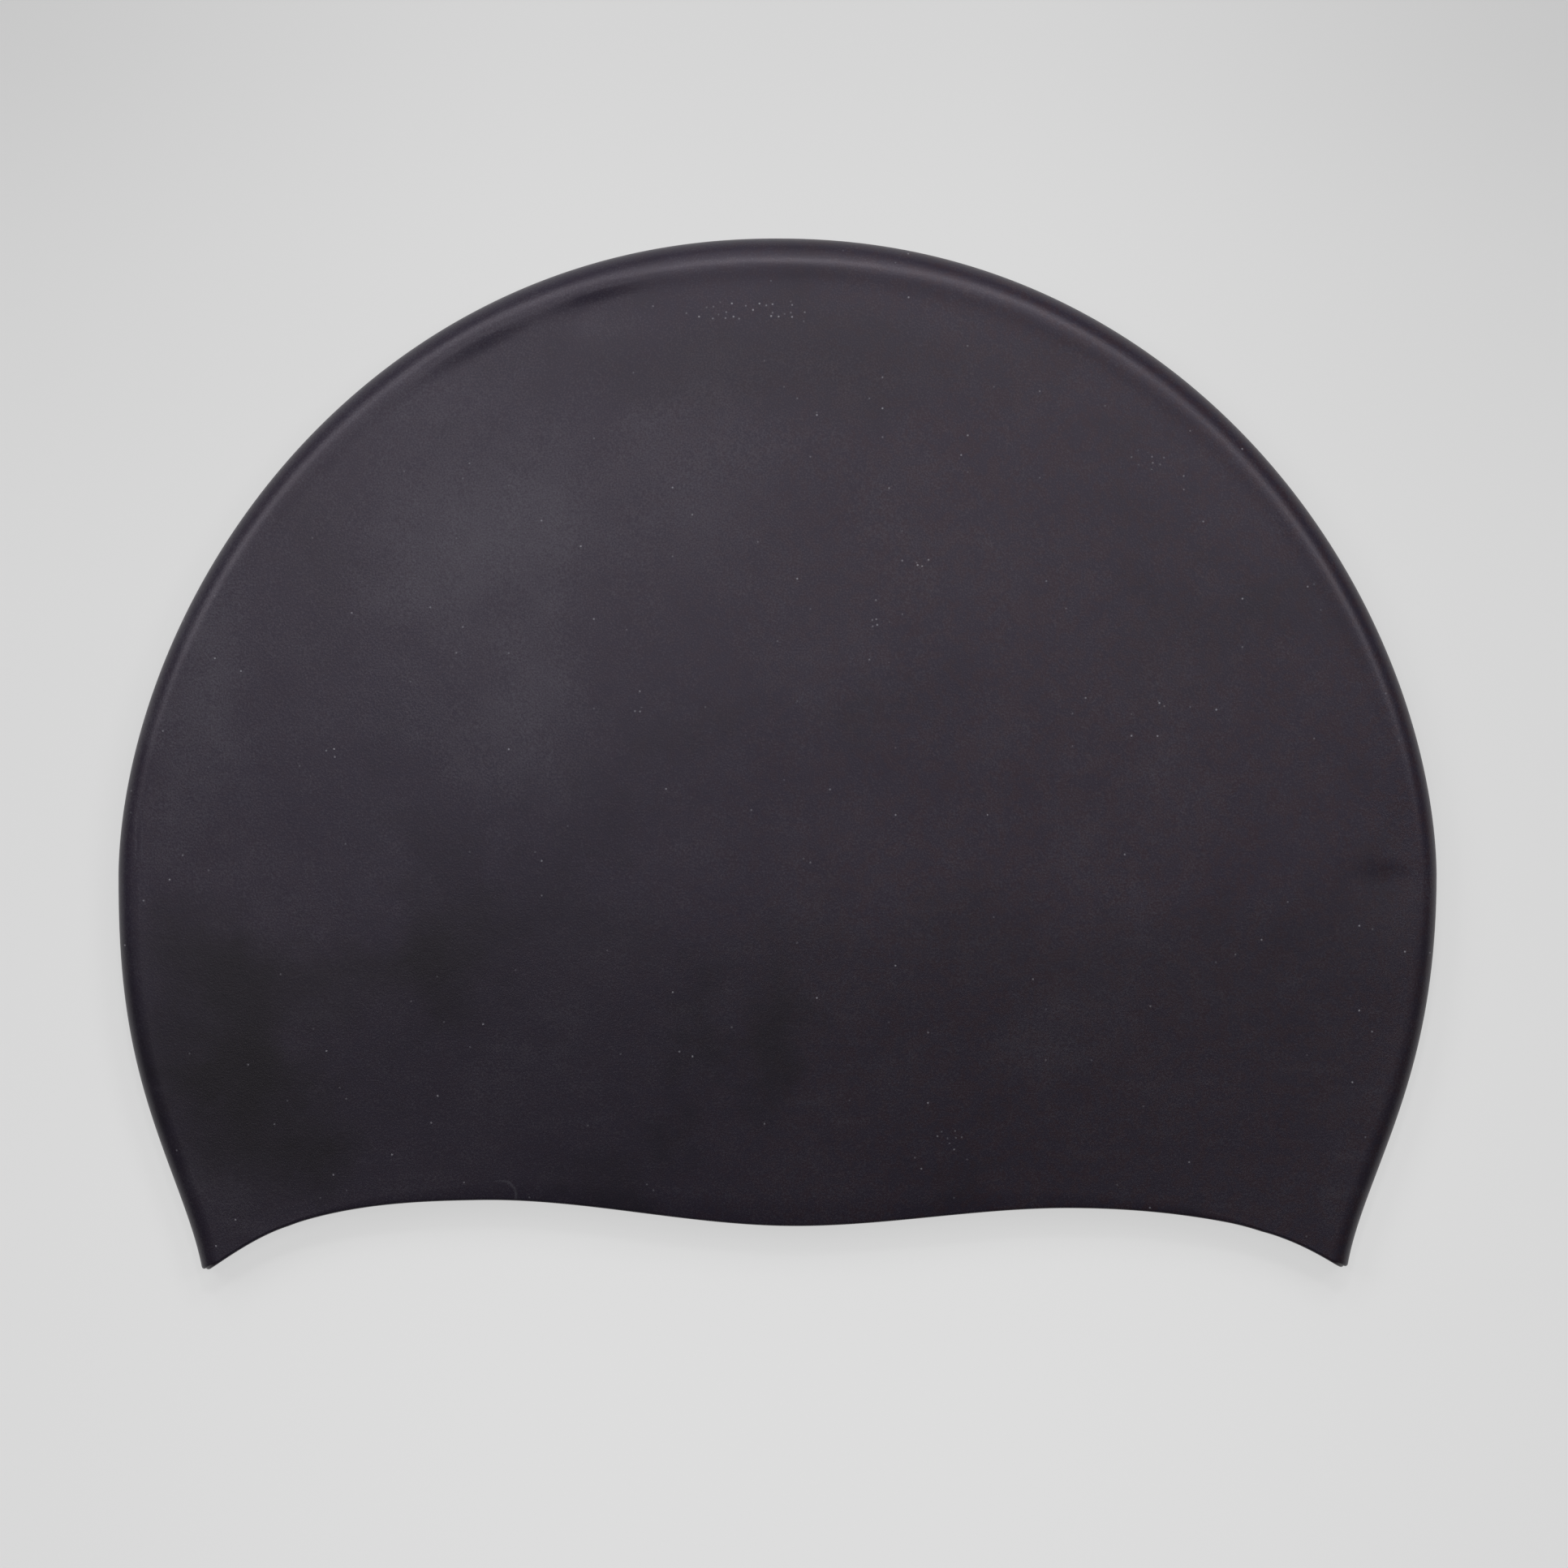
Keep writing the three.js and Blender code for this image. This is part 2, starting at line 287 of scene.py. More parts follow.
def side_points(side):
    """Fold points on one side, from the corner tip up to the widest line."""
    corner = EDGE[0] if side["sign"] < 0 else EDGE[-1]
    height = (WIDEST_UP - corner[1]) * CAP_LENGTH_MM
    end = 1 - WALL_MM / 2 * math.hypot(1.0, corner[2]) / height
    t = end * (1 - (np.arange(SIDE_ROWS) / SIDE_ROWS) ** 2)
    inset = (1 - abs(corner[0])) * HALF_WIDTH_MM
    bow = 1 + side["bow"] * t ** side["late"] * (1 - t)
    x = side["sign"] * (HALF_WIDTH_MM - inset * t ** side["power"] * bow)
    y = plan_y(WIDEST_UP) + (plan_y(corner[1]) - plan_y(WIDEST_UP)) * t
    return np.column_stack([x, y])


def dome_points():
    """Fold points over the dome, from its left side over the crown to its right side."""
    angles = [np.array([DOME_ROWS[0][0]])]
    angles += [np.linspace(lo, hi, steps + 1)[1:] for lo, hi, steps in DOME_ROWS]
    angle = np.radians(np.concatenate(angles))
    c = np.cos(angle)
    s = np.clip(np.sin(angle), 0.0, 1.0)
    x = -HALF_WIDTH_MM * np.sign(c) * np.abs(c) ** (2 / DOME_SHOULDER)
    y = plan_y(WIDEST_UP) + (1 - WIDEST_UP) * CAP_LENGTH_MM * s ** (2 / DOME_CROWN)
    return np.column_stack([x, y])


def fold_rows():
    """Each row's fold point, inward direction, share of the fold's length, nearness to
    the crown and step in at a rounded corner tip."""
    left, right = side_points(SIDES["left"]), side_points(SIDES["right"])
    points = np.vstack([left, dome_points(), right[::-1]])
    along = np.concatenate([[0.0], np.cumsum(np.linalg.norm(np.diff(points, axis=0), axis=1))])
    total = along[-1]
    tangent = np.gradient(points, axis=0)
    inward = np.column_stack([tangent[:, 1], -tangent[:, 0]])
    inward /= np.linalg.norm(inward, axis=1)[:, None]
    from_end = np.minimum(along, total - along)
    leftward = np.array([1.0, EDGE[0, 2]]) / math.hypot(1.0, EDGE[0, 2])
    rightward = np.array([-1.0, -EDGE[-1, 2]]) / math.hypot(1.0, EDGE[-1, 2])
    edgeway = np.where((along < total / 2)[:, None], leftward, rightward)
    turn = smooth(from_end / NORMAL_BLEND_MM)[:, None]
    inward = edgeway + (inward - edgeway) * turn
    inward /= np.linalg.norm(inward, axis=1)[:, None]
    tip = CORNER_ROUND * CORNER_GAP_MM / 2
    step = tip - np.sqrt(tip**2 - np.maximum(tip - from_end, 0.0) ** 2)
    return {"point": points, "inward": inward, "share": along / total,
            "crownward": smooth(2 * from_end / total), "step": step}


def stations():
    """Roll angle and share behind the roll of each station, from the lower wall's edge
    round the fold to the upper wall's edge."""
    lower = (np.arange(LOWER_STEPS, 0, -1) / LOWER_STEPS) ** CROWDING
    upper = (np.arange(1, UPPER_STEPS + 1) / UPPER_STEPS) ** CROWDING
    roll = np.radians(np.linspace(-90.0, 90.0, 2 * ROLL_STEPS + 1))
    angle = np.concatenate([np.full(len(lower), -math.pi / 2), roll, np.full(len(upper), math.pi / 2)])
    share = np.concatenate([lower, np.zeros(len(roll)), upper])
    return angle, share


def rim_loop(rows, columns):
    """Indices once round a skin's rim: first row, last column, last row, first column."""
    grid = np.arange(rows * columns).reshape(rows, columns)
    return np.concatenate([grid[0, :-1], grid[:-1, -1], grid[-1, :0:-1], grid[:0:-1, 0]])


def shell_pattern():
    """The cap's pattern mesh. Every vertex starts on its row's fold point, and the
    attributes say where on the section it belongs."""
    rows = fold_rows()
    angle, share = stations()
    n_rows, n_cols = len(rows["point"]), len(angle)
    reach = CORNER_REACH * HALF_WIDTH_MM
    first, last = EDGE[0, 0] * HALF_WIDTH_MM, EDGE[-1, 0] * HALF_WIDTH_MM

    edge_x = first + reach + (last - first - 2 * reach) * rows["share"]
    edge_points = np.column_stack([edge_x, skin_edge(edge_x)])
    bow = np.zeros((n_rows, n_cols))
    for start, end, weight in ((first, first + reach, 1 - rows["share"]),
                               (last, last - reach, rows["share"])):
        chord = skin_edge(start) + (skin_edge(end) - skin_edge(start)) * share
        bow += weight[:, None] * (skin_edge(start + (end - start) * share) - chord)[None, :]

    def spread(per_row):
        return np.repeat(per_row[:, None], n_cols, axis=1).reshape(n_rows * n_cols, -1)

    def skin(depth):
        return {
            "point": spread(rows["point"]), "inward": spread(rows["inward"]),
            "edge_point": spread(edge_points), "bow": bow.reshape(-1, 1),
            "crownward": spread(rows["crownward"]), "step": spread(rows["step"]),
            "roll_angle": np.tile(angle, n_rows)[:, None],
            "behind": np.tile(share, n_rows)[:, None],
            "depth": np.full((n_rows * n_cols, 1), depth),
            "lip_out": np.zeros((n_rows * n_cols, 2)),
        }

    parts = [skin(0.0), skin(1.0)]
    count = n_rows * n_cols
    loop = rim_loop(n_rows, n_cols)
    fold_x, mouth_x, behind = (parts[0][name][loop, 0] for name in ("point", "edge_point", "behind"))
    rim_x = fold_x + (mouth_x - fold_x) * behind
    slope = opening_edge(np.clip(rim_x, first, last))[1]
    out = np.column_stack([slope, -np.ones(len(slope))]) / np.hypot(1.0, slope)[:, None]
    rings = [loop]
    for k in range(1, LIP_STEPS):
        around = k / LIP_STEPS * math.pi
        ring = {name: value[loop].copy() for name, value in parts[0].items()}
        ring["depth"][:] = (1 - math.cos(around)) / 2
        ring["lip_out"] = out * math.sin(around)
        rings.append(2 * count + (k - 1) * len(loop) + np.arange(len(loop)))
        parts.append(ring)
    rings.append(loop + count)
    fields = {name: np.vstack([part[name] for part in parts]) for name in parts[0]}

    grid = np.arange(count).reshape(n_rows, n_cols)
    a, b, c, d = grid[:-1, :-1], grid[:-1, 1:], grid[1:, 1:], grid[1:, :-1]
    outer = np.stack([a, b, c, d], axis=-1).reshape(-1, 4)
    faces = [outer, outer[:, ::-1] + count]
    for upper, lower in zip(rings[:-1], rings[1:]):
        faces.append(np.column_stack([np.roll(upper, -1), upper, lower, np.roll(lower, -1)]))
    return fields, np.vstack(faces)


def pattern_object():
    fields, faces = shell_pattern()
    mesh = bpy.data.meshes.new("cap_skin")
    points = np.column_stack([fields["point"], np.zeros(len(fields["point"]))]) * MM
    mesh.from_pydata(points.tolist(), [], faces.tolist())
    vectors = {"inward": 1.0, "edge_point": MM, "lip_out": 1.0}
    for name, unit in vectors.items():
        values = np.column_stack([fields[name], np.zeros(len(points))]) * unit
        layer = mesh.attributes.new(name, "FLOAT_VECTOR", "POINT")
        layer.data.foreach_set("vector", values.astype(np.float32).ravel())
    numbers = {"roll_angle": 1.0, "behind": 1.0, "depth": 1.0, "crownward": 1.0,
               "bow": MM, "step": MM}
    for name, unit in numbers.items():
        layer = mesh.attributes.new(name, "FLOAT", "POINT")
        layer.data.foreach_set("value", (fields[name][:, 0] * unit).astype(np.float32))
    piece = bpy.data.objects.new("cap_skin", mesh)
    bpy.context.scene.collection.objects.link(piece)
    return piece


class Tree:
    """Short calls for a node tree: each takes sockets or numbers and gives a socket, apart
    from node, which gives the whole node, and plug, which only connects."""

    def __init__(self, nodes, links):
        self.nodes = nodes
        self.links = links

    def plug(self, socket, value):
        if isinstance(value, bpy.types.NodeSocket):
            self.links.new(value, socket)
        elif value is not None:
            socket.default_value = value

    def node(self, kind, inputs=(), **settings):
        made = self.nodes.new(kind)
        for name, value in settings.items():
            setattr(made, name, value)
        items = inputs.items() if isinstance(inputs, dict) else enumerate(inputs)
        for key, value in items:
            self.plug(made.inputs[key], value)
        return made

    def math(self, operation, *values):
        return self.node("ShaderNodeMath", values, operation=operation).outputs[0]

    def vector(self, operation, *values, out=0):
        return self.node("ShaderNodeVectorMath", values, operation=operation).outputs[out]

    def scaled(self, vector, factor):
        made = self.node("ShaderNodeVectorMath", {"Vector": vector, "Scale": factor}, operation="SCALE")
        return made.outputs[0]

    def add(self, *values):
        total = values[0]
        for value in values[1:]:
            total = self.math("ADD", total, value)
        return total

    def times(self, *values):
        total = values[0]
        for value in values[1:]:
            total = self.math("MULTIPLY", total, value)
        return total

    def smooth(self, value, low=0.0, high=1.0, to_low=0.0, to_high=1.0):
        made = self.node("ShaderNodeMapRange", (value, low, high, to_low, to_high),
                         interpolation_type="SMOOTHSTEP")
        return made.outputs[0]

    def attribute(self, name, kind="FLOAT"):
        made = self.node("GeometryNodeInputNamedAttribute", {"Name": name}, data_type=kind)
        return made.outputs["Attribute"]


def dent_group():
    """Depth of one dent at a plan point."""
    group = bpy.data.node_groups.new("cap_dent", "GeometryNodeTree")
    ports = group.interface
    ports.new_socket("Plan", in_out="INPUT", socket_type="NodeSocketVector")
    ports.new_socket("Centre", in_out="INPUT", socket_type="NodeSocketVector")
    for name in ("Turn", "Long", "Wide", "Tail", "Deep"):
        ports.new_socket(name, in_out="INPUT", socket_type="NodeSocketFloat")
    ports.new_socket("Depth", in_out="OUTPUT", socket_type="NodeSocketFloat")
    t = Tree(group.nodes, group.links)
    given = t.node("NodeGroupInput").outputs
    offset = t.vector("SUBTRACT", given["Plan"], given["Centre"])
    back = t.math("MULTIPLY", given["Turn"], -1.0)
    local = t.node("ShaderNodeVectorRotate", {"Vector": offset, "Angle": back},
                   rotation_type="Z_AXIS").outputs[0]
    split = t.node("ShaderNodeSeparateXYZ", (local,)).outputs
    crownward = t.math("GREATER_THAN", split["Y"], 0.0)
    narrower = t.math("SUBTRACT", given["Wide"], given["Tail"])
    run = t.math("MULTIPLY_ADD", crownward, narrower, given["Tail"])
    along = t.math("POWER", t.math("ABSOLUTE", t.math("DIVIDE", split["X"], given["Long"])), 2.0)
    across = t.math("POWER", t.math("ABSOLUTE", t.math("DIVIDE", split["Y"], run)), 2.0)
    fall = t.math("EXPONENT", t.math("MULTIPLY", t.math("ADD", along, across), -1.0))
    result = t.node("NodeGroupOutput")
    t.plug(result.inputs["Depth"], t.math("MULTIPLY", fall, given["Deep"]))
    return group


SHELL_SIZES = {
    "Wall": WALL_MM * MM,
    "Crown gap": CROWN_GAP_MM * MM,
    "Corner gap": CORNER_GAP_MM * MM,
    "Mouth gap": MOUTH_GAP_MM * MM,
    "Bulge": BULGE_MM * MM,
    "Bulge peak": BULGE_PEAK,
    "Groove depth": GROOVE_DEPTH_MM * MM,
    "Groove run": GROOVE_RUN_MM * MM,
    "Groove end": GROOVE_END_MM * MM,
    "Ripple height": RIPPLE_HEIGHT_MM * MM,
    "Ripple size": RIPPLE_SCALE,
    "Ripple seed": RIPPLE_SEED,
}


def shell_tree(material):
    """The section rule: wall, roll, bulge, groove, dents and slack ripples."""
    tree = bpy.data.node_groups.new("cap_section", "GeometryNodeTree")
    ports = tree.interface
    ports.new_socket("Pattern", in_out="INPUT", socket_type="NodeSocketGeometry")
    for name in SHELL_SIZES:
        ports.new_socket(name, in_out="INPUT", socket_type="NodeSocketFloat")
    ports.new_socket("Shell", in_out="OUTPUT", socket_type="NodeSocketGeometry")
    t = Tree(tree.nodes, tree.links)
    given = t.node("NodeGroupInput").outputs
    wall = given["Wall"]

    # The roll's radius, and how deep in the wall the vertex lies
    gap = t.node("ShaderNodeMix", {"Factor": t.attribute("crownward"), "A": given["Corner gap"],
                                   "B": given["Crown gap"]}).outputs["Result"]
    radius = t.math("MULTIPLY_ADD", gap, 0.5, wall)
    depth = t.times(t.attribute("depth"), wall)
    angle = t.attribute("roll_angle")
    rise = t.math("SINE", angle)
    lift = t.math("MAXIMUM", rise, 0.0)

    # Plan: round the roll, then straight to the opening edge
    step = t.add(t.attribute("step"), depth)
    inset = t.math("MULTIPLY_ADD", t.math("SUBTRACT", radius, step),
                   t.math("SUBTRACT", 1.0, t.math("COSINE", angle)), step)
    fold_point = t.node("GeometryNodeInputPosition").outputs[0]
    inward = t.attribute("inward", "FLOAT_VECTOR")
    edge_point = t.attribute("edge_point", "FLOAT_VECTOR")
    behind = t.attribute("behind")
    roll_plan = t.vector("ADD", fold_point, t.scaled(inward, inset))
    to_edge = t.scaled(t.vector("SUBTRACT", edge_point, roll_plan), behind)
    lip = t.scaled(t.attribute("lip_out", "FLOAT_VECTOR"), t.math("MULTIPLY", wall, 0.5))
    bow = t.node("ShaderNodeCombineXYZ", (0.0, t.attribute("bow"), 0.0)).outputs[0]
    plan = t.vector("ADD", t.vector("ADD", roll_plan, to_edge), t.vector("ADD", lip, bow))

    # Height: the roll, then the upper wall's fall to the mouth, its bulge and its groove
    run = t.times(behind, t.vector("DISTANCE", fold_point, edge_point, out="Value"))
    mouth = t.math("MULTIPLY_ADD", wall, 2.0, given["Mouth gap"])
    fall = t.times(t.smooth(behind), t.math("MULTIPLY_ADD", radius, -2.0, mouth))
    peak = given["Bulge peak"]
    beyond = t.math("SUBTRACT", 1.0, peak)
    rising = t.math("POWER", t.math("DIVIDE", behind, peak), t.math("DIVIDE", peak, beyond))
    falling = t.math("DIVIDE", t.math("SUBTRACT", 1.0, behind), beyond)
    bulge = t.times(given["Bulge"], t.attribute("crownward"), rising, falling)
    groove = t.times(given["Groove depth"], t.attribute("crownward"),
                     t.smooth(run, 0.0, given["Groove run"]),
                     t.math("SUBTRACT", 1.0, t.smooth(run, 0.0, given["Groove end"])))
    height = t.math("MULTIPLY_ADD", t.math("SUBTRACT", radius, depth), rise, radius)

    dent_depths = []
    group = dent_group()
    for dent in DENTS:
        centre = (dent["across"] * HALF_WIDTH_MM * MM, plan_y(dent["up"]) * MM, 0.0)
        call = t.node("GeometryNodeGroup", node_tree=group)
        t.plug(call.inputs["Plan"], plan)
        for name, value in (("Centre", centre), ("Turn", math.radians(dent["turn"])),
                            ("Long", dent["long"] * HALF_WIDTH_MM * MM),
                            ("Wide", dent["wide"] * HALF_WIDTH_MM * MM),
                            ("Tail", dent["tail"] * HALF_WIDTH_MM * MM),
                            ("Deep", dent["deep"] * CROWN_GAP_MM * MM)):
            t.plug(call.inputs[name], value)
        dent_depths.append(call.outputs["Depth"])
    noise = t.node("ShaderNodeTexNoise", {"Vector": plan, "W": given["Ripple seed"],
                                          "Scale": given["Ripple size"], "Detail": 2.0,
                                          "Roughness": 0.4}, noise_dimensions="4D").outputs[0]
    ripple = t.times(given["Ripple height"], t.math("SUBTRACT", noise, 0.5), 2.0)
    low = t.add(groove, *dent_depths)
    upper = t.math("SUBTRACT", t.add(fall, bulge, ripple), low)
    height = t.math("MULTIPLY_ADD", upper, lift, height)

    up = t.node("ShaderNodeCombineXYZ", (0.0, 0.0, height)).outputs[0]
    placed = t.node("GeometryNodeSetPosition", {"Geometry": given["Pattern"],
                                                "Position": t.vector("ADD", plan, up)}).outputs[0]
    shaded = t.node("GeometryNodeSetShadeSmooth", {"Geometry": placed}).outputs[0]
    real = t.node("GeometryNodeRealizeInstances", {"Geometry": shaded}).outputs[0]
    done = t.node("GeometryNodeSetMaterial", {"Geometry": real, "Material": material}).outputs[0]
    result = t.node("NodeGroupOutput")
    t.plug(result.inputs["Shell"], done)
    return tree


def apply_tree(piece, tree, sizes):
    """Run a tree on a piece with its sizes, and keep the result as a plain mesh."""
    modifier = piece.modifiers.new("shape", "NODES")
    modifier.node_group = tree
    sockets = {item.name: item.identifier for item in tree.interface.items_tree
               if item.item_type == "SOCKET" and item.in_out == "INPUT"}
    for name, value in sizes.items():
        modifier[sockets[name]] = value
    depsgraph = bpy.context.evaluated_depsgraph_get()
    result = bpy.data.meshes.new_from_object(piece.evaluated_get(depsgraph))
    piece.modifiers.clear()
    piece.data = result
    return piece


def dark_silicone():
    """Matte moulded silicone, nearly black, with bloom, stains, fine grain and dust, and with
    painted light on the upper left and painted shade low on the left, in the fold at the right
    and towards the opening.
    """
    material = bpy.data.materials.new("dark_silicone")
    material.use_nodes = True
    tree = material.node_tree
    tree.nodes.clear()
    t = Tree(tree.nodes, tree.links)
    place = t.node("ShaderNodeTexCoord").outputs["Object"]

    def noise(scale, detail=2.0, roughness=0.5, vector=place, out=0):
        made = t.node("ShaderNodeTexNoise", {"Vector": vector, "Scale": scale, "Detail": detail,
                                             "Roughness": roughness})
        return made.outputs[out]

    def mix(factor, a, b):
        made = t.node("ShaderNodeMix", data_type="RGBA")
        t.plug(made.inputs["Factor"], factor)
        t.plug(made.inputs[6], (*a, 1.0) if isinstance(a, tuple) else a)
        t.plug(made.inputs[7], (*b, 1.0) if isinstance(b, tuple) else b)
        return made.outputs[2]

    def reach(vector, x, y, long, wide, turn):
        """Distance from an ellipse's middle, 1 on its outline."""
        local = t.node("ShaderNodeMapping", {"Vector": vector, "Location": (x * MM, y * MM, 0.0),
                                             "Rotation": (0.0, 0.0, math.radians(turn)),
                                             "Scale": (long * MM, wide * MM, 1.0)},
                       vector_type="TEXTURE").outputs[0]
        return t.vector("LENGTH", local, out="Value")

    def patches(vector, rows, outer, inner):
        return t.add(*(t.smooth(reach(vector, *row[:5]), outer, inner, 0.0, row[5]) for row in rows))

    drawn = noise(WANDER_SCALE, 4.0, 0.65, out=1)
    wander = t.scaled(t.vector("SUBTRACT", drawn, (0.5, 0.5, 0.5)), WANDER_REACH)
    loose = t.vector("ADD", place, wander)
    split = t.node("ShaderNodeSeparateXYZ", (place,)).outputs
    loose_split = t.node("ShaderNodeSeparateXYZ", (loose,)).outputs

    # Tint: maroon towards the right, with a fine mottle
    clouds = noise(CLOUD_SCALE, 5.0, 0.62)
    mottle = t.smooth(noise(MOTTLE_SCALE, 4.0, 0.65), 0.44, 0.58, -0.45, 0.45)
    rightward = t.smooth(split["X"], -0.045, 0.05)
    warmth = t.add(t.times(t.add(0.2, t.times(rightward, 0.8)), t.add(0.55, mottle)),
                   t.times(t.smooth(clouds, 0.4, 0.65), 0.15))
    base = mix(warmth, COOL, WARM)

    # Bloom and painted light: drifting clouds, patches, a band on the left and streaks towards
    # the opening. The band and the patches on the upper left are painted light.
    flecks = noise(FLECK_SCALE, 6.0, 0.72)
    drift = t.add(t.times(t.math("SUBTRACT", clouds, 0.5), 0.60),
                  t.times(t.math("SUBTRACT", flecks, 0.5), 0.65))
    # the band paints light on the upper left
    lit_band = t.times(t.smooth(split["X"], *BAND_EDGE), t.smooth(split["X"], *BAND_LEFT),
                   t.smooth(loose_split["Y"], *BAND_LOW, 0.0, 0.07))
    streaked = t.node("ShaderNodeMapping", {"Vector": place, "Scale": STREAK_STRETCH}).outputs[0]
    streaks = t.times(t.smooth(noise(1.0, 3.0, 0.55, streaked), 0.54, 0.72, 0.0, 0.16),
                      t.smooth(split["Y"], *STREAK_START))
    bloom_and_light = t.add(0.04, drift, lit_band, streaks, patches(loose, BLOOM_AND_LIGHT_PATCHES, 1.45, 0.15),
                  patches(place, RUBS, 1.0, 0.5))

    # Nick: a pale arc on the right of its middle
    ring = reach(place, *NICK_MM, NICK_RADIUS_MM, NICK_RADIUS_MM, 0)
    arc = t.math("ABSOLUTE", t.math("SUBTRACT", ring, 1.0))
    right_part = t.smooth(split["X"], (NICK_MM[0] - 1.5) * MM, (NICK_MM[0] + 1.0) * MM)
    bloom_and_light = t.add(bloom_and_light, t.times(t.smooth(arc, NICK_FADE, 0.0, 0.0, 0.8), right_part))

    # Grain: a fine light and dark sparkle in the bloom
    grain = noise(GRAIN_SCALE, 1.5, 0.6)
    bloom_and_light = t.add(bloom_and_light, t.times(t.math("SUBTRACT", grain, 0.5), GRAIN_BLOOM))
    # the pale colour paints both the bloom and the light on the upper left
    base = mix(t.math("MAXIMUM", bloom_and_light, 0.0), base, BLOOM_AND_LIGHT)

    # Stains and painted shade: painted shade below a wavering line towards the opening, stains
    # and painted shade in patches, and a darker tone in the gaps between the clouds
    # painted shade, darker towards the opening below a wavering line
    low_shade = t.smooth(loose_split["Y"], *LOW_SHADE, 0.0, 0.28)
    stains_and_shade = t.add(low_shade, patches(loose, DARK_STAINS_AND_SHADE, 1.5, 0.1), t.smooth(clouds, 0.46, 0.30, 0.0, 0.35))
    # the dark colour paints both the stains and the shade
    base = mix(stains_and_shade, base, STAIN_AND_SHADE)

    # Dust: round specks in cells, filled where a cluster lies and now and then elsewhere
    cells = t.node("ShaderNodeTexVoronoi", {"Vector": place, "Scale": DUST_SCALE, "Randomness": 0.9},
                   voronoi_dimensions="2D").outputs
    draws = t.node("ShaderNodeSeparateColor", (cells["Color"],)).outputs
    filled = t.math("LESS_THAN", draws[0], t.add(STRAY_DUST, patches(place, DUST_CLUSTERS, 1.1, 0.9)))
    strength = t.add(0.18, t.times(draws[1], draws[1], 0.72))
    speck = t.times(filled, strength, t.smooth(cells["Distance"], 0.20, 0.06))
    base = mix(speck, base, DUST)

    shader = t.node("ShaderNodeBsdfPrincipled")
    t.plug(shader.inputs["Base Color"], base)
    rough = t.add(ROUGHNESS, t.times(t.math("SUBTRACT", clouds, 0.5), 0.08))
    t.plug(shader.inputs["Roughness"], rough)
    shader.inputs["IOR"].default_value = SILICONE_IOR
    shader.inputs["Specular IOR Level"].default_value = SPECULAR_LEVEL
    shader.inputs["Specular Tint"].default_value = (*GLOSS_TINT, 1.0)
    bump = t.node("ShaderNodeBump", {"Height": t.add(grain, t.times(noise(PEBBLE_SCALE), 0.6)),
                                     "Strength": PEBBLE_STRENGTH, "Distance": PEBBLE_HEIGHT})
    t.plug(shader.inputs["Normal"], bump.outputs[0])
    out = t.node("ShaderNodeOutputMaterial")
    t.plug(out.inputs["Surface"], shader.outputs[0])
    return material


def cap_skin():
    """The visible shell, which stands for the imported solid."""
    silicone = dark_silicone()
    skin = apply_tree(pattern_object(), shell_tree(silicone), SHELL_SIZES)
    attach(skin, "root")
    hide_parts("cap_shell")


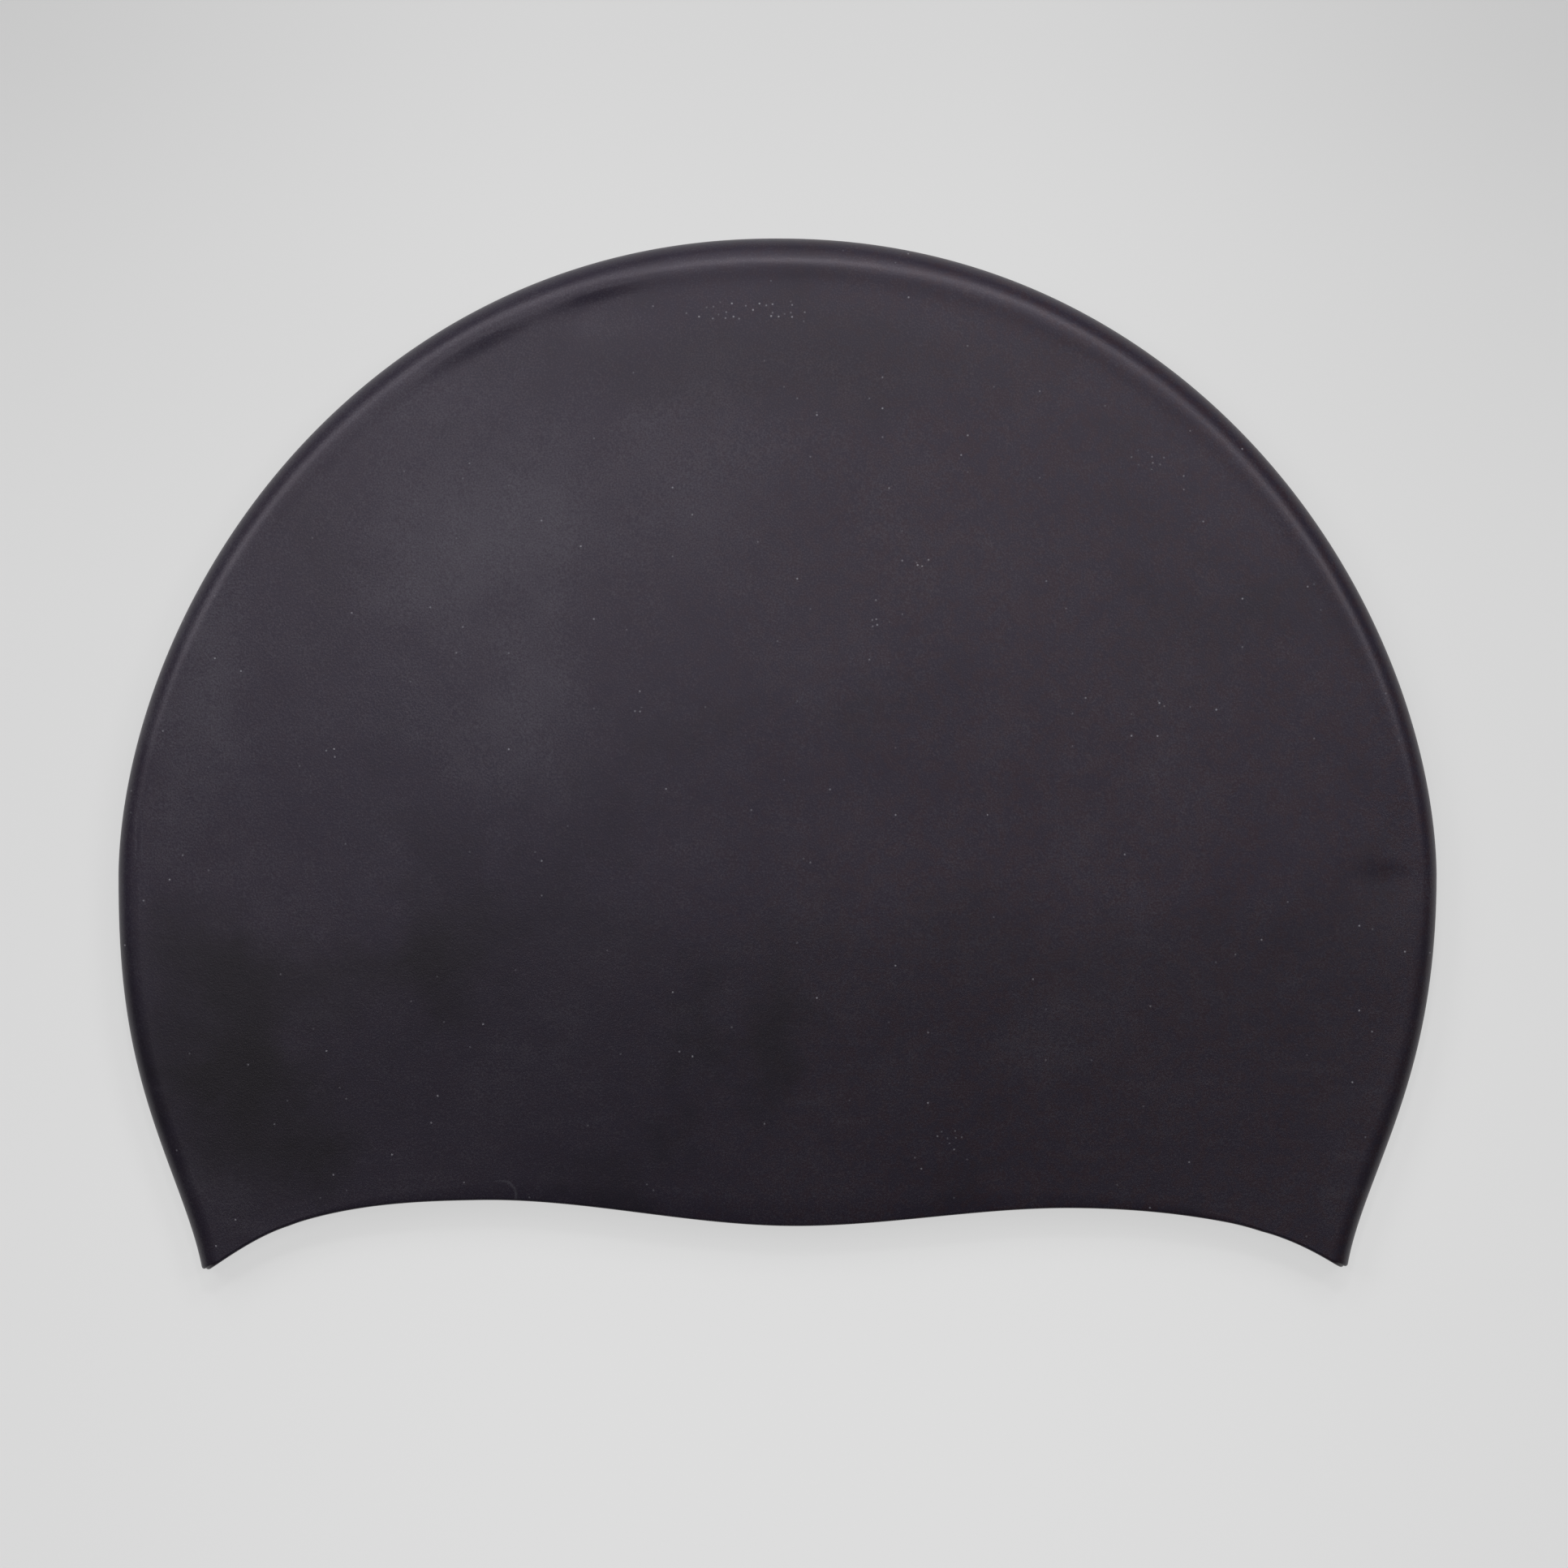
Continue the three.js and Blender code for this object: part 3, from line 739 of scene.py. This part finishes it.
def studio_floor():
    """Plain pale light table: its glow keeps the cap's shadow faint."""
    half = FLOOR_SIZE / 2
    mesh = bpy.data.meshes.new("studio_floor")
    mesh.from_pydata([(-half, -half, 0), (half, -half, 0), (half, half, 0), (-half, half, 0)],
                     [], [(0, 1, 2, 3)])
    floor = bpy.data.objects.new("studio_floor", mesh)
    bpy.context.scene.collection.objects.link(floor)
    material = bpy.data.materials.new("pale_floor")
    material.use_nodes = True
    tree = material.node_tree
    t = Tree(tree.nodes, tree.links)
    place = t.node("ShaderNodeTexCoord").outputs["Object"]
    split = t.node("ShaderNodeSeparateXYZ", (place,)).outputs
    glow = t.smooth(split["Y"], FLOOR_GLOW["from"], FLOOR_GLOW["to"], FLOOR_GLOW["low"], FLOOR_GLOW["high"])
    sideways = t.smooth(t.math("ABSOLUTE", split["X"]), FLOOR_SIDES["from"], FLOOR_SIDES["to"])
    upper = t.smooth(split["Y"], FLOOR_SIDES["upper_from"], FLOOR_SIDES["upper_to"],
                     0.0, FLOOR_SIDES["upper_fall"])
    top = t.smooth(split["Y"], FLOOR_TOP["from"], FLOOR_TOP["to"], 0.0, FLOOR_TOP["fall"])
    dimmer = t.add(top, t.times(sideways, t.add(FLOOR_SIDES["fall"], upper)))
    glow = t.math("SUBTRACT", glow, dimmer)
    shader = tree.nodes["Principled BSDF"]
    shader.inputs["Base Color"].default_value = (*FLOOR_COLOUR, 1.0)
    shader.inputs["Roughness"].default_value = FLOOR_ROUGHNESS
    shader.inputs["Specular IOR Level"].default_value = FLOOR_SPECULAR
    shader.inputs["Emission Color"].default_value = (1.0, 1.0, 1.0, 1.0)
    t.plug(shader.inputs["Emission Strength"], glow)
    mesh.materials.append(material)


def studio_light():
    scene = bpy.context.scene
    scene.world = bpy.data.worlds.new("studio")
    scene.world.use_nodes = True
    surround = scene.world.node_tree.nodes["Background"].inputs
    surround["Color"].default_value = (1.0, 1.0, 1.0, 1.0)
    surround["Strength"].default_value = AMBIENT
    for box in SOFTBOXES:
        zenith, azimuth = math.radians(box["zenith"]), math.radians(box["azimuth"])
        toward = Vector((math.sin(zenith) * math.cos(azimuth), math.sin(zenith) * math.sin(azimuth),
                         math.cos(zenith)))
        light = bpy.data.lights.new(box["name"], "AREA")
        light.shape = "DISK"
        light.size = box["size"]
        light.energy = box["watts"]
        lamp = bpy.data.objects.new(box["name"], light)
        lamp.location = toward * SOFTBOX_DISTANCE
        lamp.rotation_euler = (-toward).to_track_quat("-Z", "Y").to_euler()
        scene.collection.objects.link(lamp)


def overhead_camera():
    data = bpy.data.cameras.new("camera")
    data.lens = LENS_MM
    data.sensor_width = SENSOR_MM
    camera = bpy.data.objects.new("camera", data)
    distance = LENS_MM / SENSOR_MM * FRAME_WIDTH_MM + OUTLINE_HEIGHT_MM
    camera.location = (FRAME_CENTRE_MM[0] * MM, FRAME_CENTRE_MM[1] * MM, distance * MM)
    bpy.context.scene.collection.objects.link(camera)
    bpy.context.scene.camera = camera


cap_skin()
studio_floor()
studio_light()
overhead_camera()
bpy.context.scene.view_settings.view_transform = "Standard"
